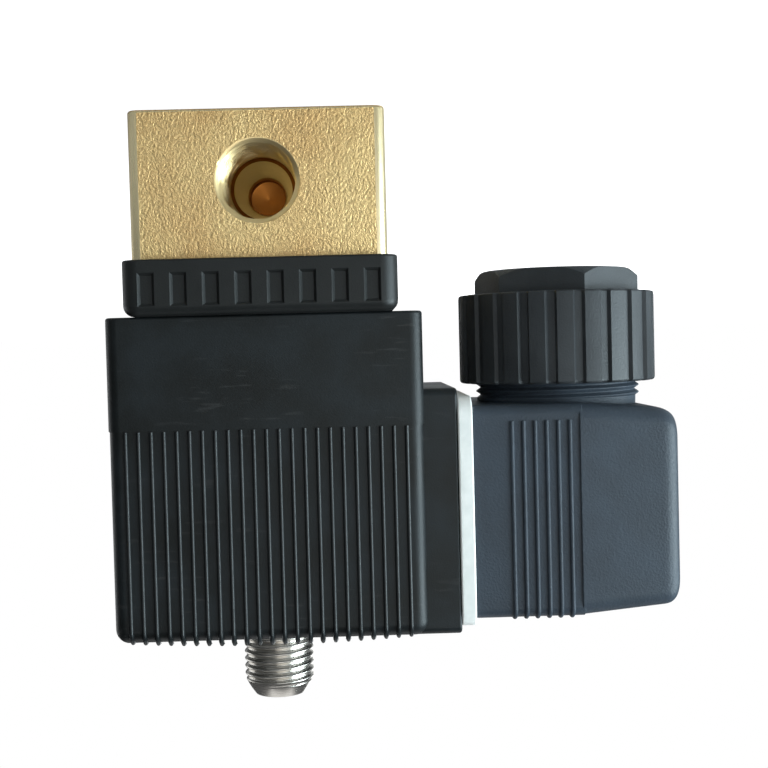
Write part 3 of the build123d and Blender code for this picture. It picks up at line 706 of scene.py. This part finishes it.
def rib_shell(name, path_of, places, half_width, proud, finish):
    """Half-round ribs, each a closed bar sunk a little into the face that it stands on."""
    points = []
    faces = []
    half_round = [(-cos(i / 6 * pi), sin(i / 6 * pi)) for i in range(7)]
    section = [(-1.25, -0.35)] + half_round + [(1.25, -0.35)]
    for across, side in places:
        path = path_of(across, side)
        start = len(points)
        last = len(path) - 1
        for number, (y, z, out_y, out_z) in enumerate(path):
            fade = 0.15 if number == last else 1.0
            for width, height in section:
                lift = height * proud * (fade if height > 0 else 1.0)
                x = coil_offset + across + width * half_width
                points.append((x, y + out_y * lift, z + out_z * lift))
        count = len(section)
        for number in range(last):
            for step in range(count):
                after = (step + 1) % count
                a = start + number * count
                faces.append((a + step, a + after, a + count + after, a + count + step))
        faces.append(tuple(start + step for step in reversed(range(count))))
        faces.append(tuple(start + last * count + step for step in range(count)))
    mesh = bpy.data.meshes.new(name)
    mesh.from_pydata(points, [], faces)
    return finish_piece(name, mesh, finish, 50.0)


rib_nylon = black_nylon("rib_nylon", (0.008, 0.010, 0.011), (0.012, 0.014, 0.015), 0.34)
rib_places = [
    ((number - (rib_count - 1) / 2) * rib_pitch, side) for side in (-1, 1) for number in range(rib_count)
]
coil_ribs = rib_shell("coil_ribs", rib_path, rib_places, rib_half_width, rib_proud, rib_nylon)

end_recess_radius = 8.6 * mm
end_recess_mouth = 9.0 * mm
end_recess_floor = 63.5 * mm
end_recess = turned(
    "end_recess",
    [
        (end_recess_radius, end_recess_floor),
        (end_recess_radius, coil_high.z - 0.3 * mm),
        (end_recess_mouth, coil_high.z + 0.3 * mm),
    ],
    coil_nylon,
    Matrix.Identity(4),
)
carve(coil_moulding, end_recess)
coil_bore_radius = 5.6 * mm
coil_bore = turned(
    "coil_bore",
    [(coil_bore_radius, coil_low.z - 1.0 * mm), (coil_bore_radius, coil_high.z + 1.0 * mm)],
    coil_nylon,
    Matrix.Identity(4),
)
carve(coil_moulding, coil_bore)
even_shading(coil_moulding, 30.0)

connector_height = 51.4 * mm
boss_face = -coil_low.x
boss_width = 28.4 * mm
boss_bottom = 35.5 * mm
boss_top = 66.9 * mm
boss_root = 17.0 * mm
boss_corner = 1.0 * mm
boss_place = Matrix.Translation((0, 0, (boss_bottom + boss_top) / 2)) @ Matrix.Rotation(-pi / 2, 4, "Y")
connector_boss = block(
    "connector_boss",
    (boss_top - boss_bottom, boss_width),
    boss_corner,
    eased_ends(boss_root, boss_face, 0.1 * mm, 0.35 * mm, 3),
    coil_nylon,
    boss_place,
)
for piece in (coil_moulding, coil_ribs, connector_boss):
    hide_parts("coil_housing")
    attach(piece, "coil")

# ---------------------------------------------------------------- gasket
# A flat white silicone gasket squeezed between the coil's boss and the plug.
gasket_low, gasket_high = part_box("plug_gasket")
gasket_rubber = Finish("white_silicone", {"Specular IOR Level": 0.35})
gasket_dust = gasket_rubber.noise(0.0015, (1.0, 1.0, 1.0), 3.0)
gasket_rubber.wear(
    "Base Color",
    gasket_rubber.mix(
        gasket_rubber.ramp(gasket_dust, 0.35, 0.7), tone(0.74, 0.77, 0.75), tone(0.82, 0.84, 0.82)
    ),
)
gasket_rubber.wear("Roughness", gasket_rubber.ramp(gasket_dust, 0.3, 0.7, 0.48, 0.62))
gasket_rubber.relief(gasket_dust, 0.00003, 0.4)
gasket_corner = 2.5 * mm
gasket_window_width = 23.6 * mm
gasket_middle = (gasket_low + gasket_high) / 2
gasket_place = Matrix.Translation((gasket_high.x, 0, gasket_middle.z)) @ Matrix.Rotation(-pi / 2, 4, "Y")
gasket = block(
    "gasket",
    (gasket_high.z - gasket_low.z, gasket_high.y - gasket_low.y),
    gasket_corner,
    eased_ends(0.0, gasket_high.x - gasket_low.x, 0.25 * mm, 0.25 * mm, 3),
    gasket_rubber,
    gasket_place,
)
gasket_window = block(
    "gasket_window",
    (gasket_window_width, gasket_window_width),
    gasket_corner,
    [(-1.0 * mm, 0.0), (3.0 * mm, 0.0)],
    gasket_rubber,
    gasket_place,
)
carve(gasket, gasket_window)
even_shading(gasket, 35.0)
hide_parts("plug_gasket")
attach(gasket, "plug")

# ---------------------------------------------------------------- cable plug
# A square two-step plug in blue-black nylon: a straight front half with six grip ribs a side, a
# slightly prouder rear half that tapers back, and a threaded neck for the gland nut.
plug_low, plug_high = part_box("plug_housing")
plug_face = plug_high.x
plug_depth = plug_high.x - plug_low.x
plug_width = 28.0 * mm
plug_height = 27.4 * mm
plug_split = 13.65 * mm
plug_step = 0.3 * mm
plug_draft = tan(radians(4.4))
plug_middle = connector_height + 0.15 * mm

plug_nylon = black_nylon(
    "plug_nylon", (0.028, 0.037, 0.049), (0.035, 0.047, 0.063), 0.50, 0.00030, 0.0, 0.00007
)
plug_place = Matrix.Translation((plug_face, 0, plug_middle)) @ Matrix.Rotation(-pi / 2, 4, "Y")
plug_front = block(
    "plug_front",
    (plug_height, plug_width - 2 * plug_step),
    1.4 * mm,
    eased_ends(0.0, plug_split + 0.4 * mm, 0.2 * mm, 0.1 * mm, 3),
    plug_nylon,
    plug_place,
)
rear_gland_round = (3.4 * mm, 1.9 * mm)
rear_side_round = (2.1 * mm, 1.6 * mm)
rear_far_round = (1.8 * mm, 1.5 * mm)


def rounded_over(height, length, depth):
    """How far a side has come in at this height, when its rear edge rounds off over this length."""
    into = max(height - (plug_depth - length), 0.0)
    return depth * (1 - (1 - min(into / length, 1.0) ** 2) ** 0.5)


rear_rings = []
rear_heights = [plug_split, plug_split + 0.12 * mm, plug_depth - rear_gland_round[0]]
for step in range(1, 13):
    rear_heights.append(plug_depth - rear_gland_round[0] * (1 - sin(step / 12 * pi / 2)))
for number, height in enumerate(rear_heights):
    taper = (height - plug_split) * plug_draft + (0.1 * mm if number == 0 else 0.0)
    gland_side = plug_height / 2 - taper - rounded_over(height, *rear_gland_round)
    far_side = plug_height / 2 - taper - rounded_over(height, *rear_far_round)
    width = plug_width - 2 * (taper + rounded_over(height, *rear_side_round))
    outline = rounded_rectangle(gland_side + far_side, width, 2.2 * mm, 8)
    shift = (far_side - gland_side) / 2
    rear_rings.append([plug_place @ Vector((x + shift, y, height)) for x, y in outline])
plug_rear = skinned("plug_rear", rear_rings, plug_nylon)

gland_axis = 39.25 * mm
neck_radius = 11.1 * mm
neck_bottom = plug_low.z
neck_pitch = 1.0 * mm
neck_thread_depth = 0.55 * mm
neck_thread_end = 37.4 * mm
neck_root = 39.5 * mm
neck_place = Matrix.Translation((-gland_axis, 0, 0))
neck_heights, neck_reach = screw_profile(
    neck_radius - neck_thread_depth,
    neck_radius,
    neck_pitch,
    neck_bottom,
    neck_thread_end,
    0.6 * mm,
    0.0,
    12,
)
neck_rings = []
for height in neck_heights:
    neck_rings.append(
        [
            neck_place @ Vector((neck_reach(height, a) * cos(a), neck_reach(height, a) * sin(a), height))
            for a in [step / 96 * 2 * pi for step in range(96)]
        ]
    )
neck_rings.append(plain_ring(neck_radius - 0.5 * mm, neck_root, neck_place))
plug_neck = skinned("plug_neck", neck_rings, plug_nylon, 50.0)

grip_pitch = 1.48 * mm
grip_start = 5.0 * mm
grip_count = 6
grip_length = 25.3 * mm
grip_bottom = plug_middle + plug_height / 2 - grip_length


def grip_path(across, side):
    """A grip rib's line on the plug: along the side, then round its upper edge."""
    corner = 1.4 * mm
    face = plug_width / 2 - plug_step
    top = plug_middle + plug_height / 2
    path = [(face, grip_bottom, 1.0, 0.0), (face, top - corner, 1.0, 0.0)]
    for step in range(1, 7):
        angle = step / 6 * pi / 2
        path.append(
            (face - corner * (1 - cos(angle)), top - corner * (1 - sin(angle)), cos(angle), sin(angle))
        )
    path.append((face - 3.0 * mm, top, 0.0, 1.0))
    return [(side * y, z, side * out_y, out_z) for y, z, out_y, out_z in path]


grip_places = [
    (plug_face - grip_start - number * grip_pitch - coil_offset, side)
    for side in (-1, 1)
    for number in range(grip_count)
]
plug_grips = rib_shell("plug_grips", grip_path, grip_places, 0.30 * mm, 0.30 * mm, plug_nylon)

wiring_space_height = 22.1 * mm
wiring_space_width = 23.0 * mm
wiring_space = block(
    "wiring_space",
    (wiring_space_height, wiring_space_width),
    0.5 * mm,
    [(-1.0 * mm, 0.0), (plug_split - 0.5 * mm, 0.0)],
    plug_nylon,
    plug_place,
)
carve(plug_front, wiring_space)
even_shading(plug_front, 35.0)
head_pocket_radius = 3.4 * mm
head_pocket_mouth = 3.9 * mm
head_pocket_depth = 5.45 * mm
head_pocket = turned(
    "head_pocket",
    [
        (head_pocket_radius, plug_depth - head_pocket_depth),
        (head_pocket_radius, plug_depth - 0.3 * mm),
        (head_pocket_mouth, plug_depth + 0.2 * mm),
    ],
    plug_nylon,
    plug_place,
    64,
)
carve(plug_rear, head_pocket)
even_shading(plug_rear, 35.0)
for piece in (plug_front, plug_rear, plug_neck, plug_grips):
    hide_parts("plug_housing")
    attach(piece, "plug")

# ---------------------------------------------------------------- gland nut
# A black nylon nut with shallow flutes for the fingers and a chamfered hexagon end for a spanner.
nut_low, nut_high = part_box("gland_nut")
nut_radius = 13.3 * mm
nut_bore_radius = neck_radius + 0.08 * mm
nut_flute_depth = 0.45 * mm
nut_flute_count = 23
nut_flute_turn = radians(253.35)
nut_hex_length = 3.2 * mm
nut_hex_flats = 19.6 * mm
nut_hex_turn = radians(19.0)
nut_mouth_radius = 5.0 * mm
nut_nylon = black_nylon(
    "nut_nylon", (0.024, 0.027, 0.030), (0.034, 0.038, 0.042), 0.46, 0.00026, 0.0, 0.00004
)


def fluted_ring(radius, depth, height):
    """Points round the fluted grip: a land and a flat-bottomed notch in each pitch."""
    shape = ((0.0, 0.0), (0.572, 0.0), (0.655, 1.0), (0.917, 1.0))
    ring = []
    for flute in range(nut_flute_count):
        for start, end in zip(shape, (*shape[1:], (1.0, 0.0))):
            for part in range(3):
                share = start[0] + (end[0] - start[0]) * part / 3
                sunk = start[1] + (end[1] - start[1]) * part / 3
                angle = (flute + share) / nut_flute_count * 2 * pi + nut_flute_turn
                reach = radius - depth * sunk
                ring.append(neck_place @ Vector((reach * cos(angle), reach * sin(angle), height)))
    return ring


nut_floor = nut_low.z + nut_hex_length
washer_seat = nut_floor + 1.2 * mm
grip_rings = []
for height, inset in eased_ends(nut_floor, nut_high.z, 0.25 * mm, 0.45 * mm, 4):
    grip_rings.append(fluted_ring(nut_radius - inset, nut_flute_depth, height))
nut_grip = skinned("nut_grip", grip_rings, nut_nylon, 28.0)
carve(
    nut_grip,
    turned(
        "nut_bore",
        [
            (nut_mouth_radius, nut_low.z - 1.0 * mm),
            (nut_mouth_radius, washer_seat),
            (nut_bore_radius, washer_seat + 0.03 * mm),
            (nut_bore_radius, nut_high.z - 0.4 * mm),
            (nut_bore_radius + 0.45 * mm, nut_high.z + 0.1 * mm),
        ],
        nut_nylon,
        neck_place,
    ),
)
hex_corner = nut_hex_flats / 2 / cos(pi / 6)
hex_blank = skinned(
    "nut_hexagon",
    [
        [
            neck_place
            @ Vector((hex_corner * cos(a + nut_hex_turn), hex_corner * sin(a + nut_hex_turn), height))
            for a in [step * pi / 3 for step in range(6)]
        ]
        for height in (nut_low.z, nut_floor + 0.1 * mm)
    ],
    nut_nylon,
)
hex_cone = turned(
    "hex_cone",
    [
        (hex_corner - 1.5 * mm, nut_low.z - 0.01 * mm),
        (hex_corner - 1.1 * mm, nut_low.z + 0.14 * mm),
        (hex_corner - 0.1 * mm, nut_low.z + 1.0 * mm),
        (hex_corner + 0.2 * mm, nut_low.z + 1.5 * mm),
        (hex_corner + 0.2 * mm, nut_floor + 0.5 * mm),
    ],
    nut_nylon,
    neck_place,
)
carve(hex_blank, hex_cone, "INTERSECT")
carve(
    hex_blank,
    turned(
        "mouth",
        [
            (nut_mouth_radius + 0.6 * mm, nut_low.z - 0.2 * mm),
            (nut_mouth_radius + 0.4 * mm, nut_low.z),
            (nut_mouth_radius, nut_low.z + 0.4 * mm),
            (nut_mouth_radius, nut_floor + 1.0 * mm),
        ],
        nut_nylon,
        neck_place,
    ),
)
soften(hex_blank, 0.14 * mm, 2, 35.0)
even_shading(nut_grip, 25.0)
for piece in (nut_grip, hex_blank):
    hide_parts("gland_nut")
    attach(piece, "gland")

# ---------------------------------------------------------------- exhaust stub
# The end of the stainless pole piece: a pipe-threaded stub with a chamfered end and a tapped bore.
stub_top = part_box("pole_piece")[1].z
stub_radius = 4.78 * mm
stub_thread_depth = 0.38 * mm
stub_pitch = 1.0 * mm
stub_nose = 1.35 * mm
stub_nose_length = 2.5 * mm
stub_start = 60.0 * mm
steel = Finish("turned_stainless", {"Metallic": 1.0})
steel_height = steel.node("ShaderNodeSeparateXYZ", {}, {0: steel.place()}, 2)
steel_lines = steel.node(
    "ShaderNodeTexNoise",
    {"noise_dimensions": "1D"},
    {"W": steel_height * 14000.0, "Scale": 1.0, "Detail": 2.0},
    "Fac",
)
steel_stain = steel.noise(0.002)
steel.wear("Base Color", steel.mix(steel_stain, tone(0.56, 0.53, 0.48), tone(0.72, 0.70, 0.66)))
steel.wear("Roughness", steel.ramp(steel_lines, 0.3, 0.7, 0.20, 0.34))
steel.relief(steel_lines, 0.000012, 0.5)
stub_heights, stub_reach = screw_profile(
    stub_radius - stub_thread_depth, stub_radius, stub_pitch, stub_start, stub_top, 0.4 * mm, 0.0, 12
)
stub_rings = []
for height in stub_heights:
    ring = []
    for step in range(96):
        angle = step / 96 * 2 * pi
        into = max(0.0, 1 - (stub_top - height) / stub_nose_length)
        slope = stub_radius - stub_nose * into**1.35
        reach = min(stub_reach(height, angle), slope)
        ring.append(Vector((reach * cos(angle), reach * sin(angle), height)))
    stub_rings.append(ring)
stub = skinned("exhaust_stub", stub_rings, steel, 50.0)
nozzle_radius = 0.9 * mm
exhaust_bore_radius = 2.1 * mm
exhaust_mouth_radius = 2.6 * mm
carve(
    stub,
    turned(
        "exhaust_bore",
        [
            (nozzle_radius, stub_start - 1.0 * mm),
            (nozzle_radius, stub_top - 7.0 * mm),
            (exhaust_bore_radius, stub_top - 6.5 * mm),
            (exhaust_bore_radius, stub_top - 0.4 * mm),
            (exhaust_mouth_radius, stub_top + 0.1 * mm),
        ],
        steel,
        Matrix.Identity(4),
        64,
    ),
)
even_shading(stub, 45.0)
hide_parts("pole_piece")
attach(stub, "valve")

# ---------------------------------------------------------------- return spring
# A stainless wire spring between the pocket in the plunger and the pole face.
spring_low, spring_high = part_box("return_spring")
spring_wire = 0.25 * mm
spring_radius = 3.4 * mm
spring_turns = 5
spring_steps = 40
spring_rings = []
for step in range(spring_turns * spring_steps + 1):
    angle = step / spring_steps * 2 * pi
    share = step / (spring_turns * spring_steps)
    height = spring_low.z + spring_wire + (spring_high.z - spring_low.z - 2 * spring_wire) * share
    ring = []
    for side in range(10):
        reach = spring_radius + spring_wire * cos(side / 10 * 2 * pi)
        rise = spring_wire * sin(side / 10 * 2 * pi)
        ring.append(Vector((reach * cos(angle), reach * sin(angle), height + rise)))
    spring_rings.append(ring)
spring = skinned("spring", spring_rings, steel, 60.0)
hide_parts("return_spring")
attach(spring, "plunger")
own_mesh(spring)

# ---------------------------------------------------------------- pieces inside
# Everything the covers hide keeps its own shape and gets the finish of its real material.
zinc = Finish("zinc_plate", {"Metallic": 1.0})
zinc_bloom = zinc.noise(0.0012, (1.0, 1.0, 1.0), 3.0)
zinc.wear("Base Color", zinc.mix(zinc_bloom, tone(0.55, 0.57, 0.58), tone(0.74, 0.75, 0.76)))
zinc.wear("Roughness", zinc.ramp(zinc_bloom, 0.3, 0.7, 0.26, 0.42))
zinc.relief(zinc_bloom, 0.00001, 0.4)

winding_wire = 0.25 * mm
copper = Finish("enamelled_copper", {"Metallic": 1.0})
copper_height = copper.node("ShaderNodeSeparateXYZ", {}, {0: copper.place()}, 2)
copper_turns = (copper_height * (2 * pi / winding_wire)).math("SINE")
copper.wear("Base Color", copper.mix(copper.noise(0.002), tone(0.52, 0.20, 0.09), tone(0.66, 0.28, 0.13)))
copper.wear("Roughness", copper.ramp(copper_turns, -1.0, 1.0, 0.38, 0.24))
copper.relief(copper_turns, 0.00006, 1.0)

tin = Finish("tinned_blade", {"Metallic": 1.0})
tin_drag = tin.noise(0.0005, (0.06, 1.0, 1.0), 2.0)
tin.wear("Base Color", tin.mix(tin_drag, tone(0.66, 0.66, 0.64), tone(0.80, 0.80, 0.78)))
tin.wear("Roughness", tin.ramp(tin_drag, 0.3, 0.7, 0.18, 0.32))

black_rubber = Finish("black_rubber", {"Specular IOR Level": 0.3})
rubber_bloom = black_rubber.noise(0.001, (1.0, 1.0, 1.0), 3.0)
black_rubber.wear(
    "Base Color", black_rubber.mix(rubber_bloom, tone(0.010, 0.010, 0.010), tone(0.022, 0.022, 0.021))
)
black_rubber.wear("Roughness", black_rubber.ramp(rubber_bloom, 0.3, 0.7, 0.55, 0.75))
black_rubber.relief(rubber_bloom, 0.00001, 0.5)

pale_nylon = Finish("natural_nylon", {"Specular IOR Level": 0.4})
pale_cloud = pale_nylon.noise(0.004, (1.0, 1.0, 1.0), 3.0)
pale_nylon.wear("Base Color", pale_nylon.mix(pale_cloud, tone(0.50, 0.47, 0.40), tone(0.60, 0.57, 0.50)))
pale_nylon.wear("Roughness", pale_nylon.ramp(pale_cloud, 0.3, 0.7, 0.45, 0.55))

inner_finishes = {
    "stainless": steel,
    "zinc_steel": zinc,
    "copper": copper,
    "tinned_brass": tin,
    "black_rubber": black_rubber,
    "pale_nylon": pale_nylon,
    "grey_black_nylon": plug_nylon,
    "black_nylon": coil_nylon,
    "white_rubber": gasket_rubber,
    "cast_brass": blasted_brass,
    "turned_brass": turned_brass,
}
node_slots = {entry["node"]: entry["material_slot"] for entry in frame["record"]["subparts"]}
for node, carried in frame["nodes"].items():
    finish = inner_finishes[node_slots[node]]
    for slot in carried.material_slots:
        slot.material = finish.material
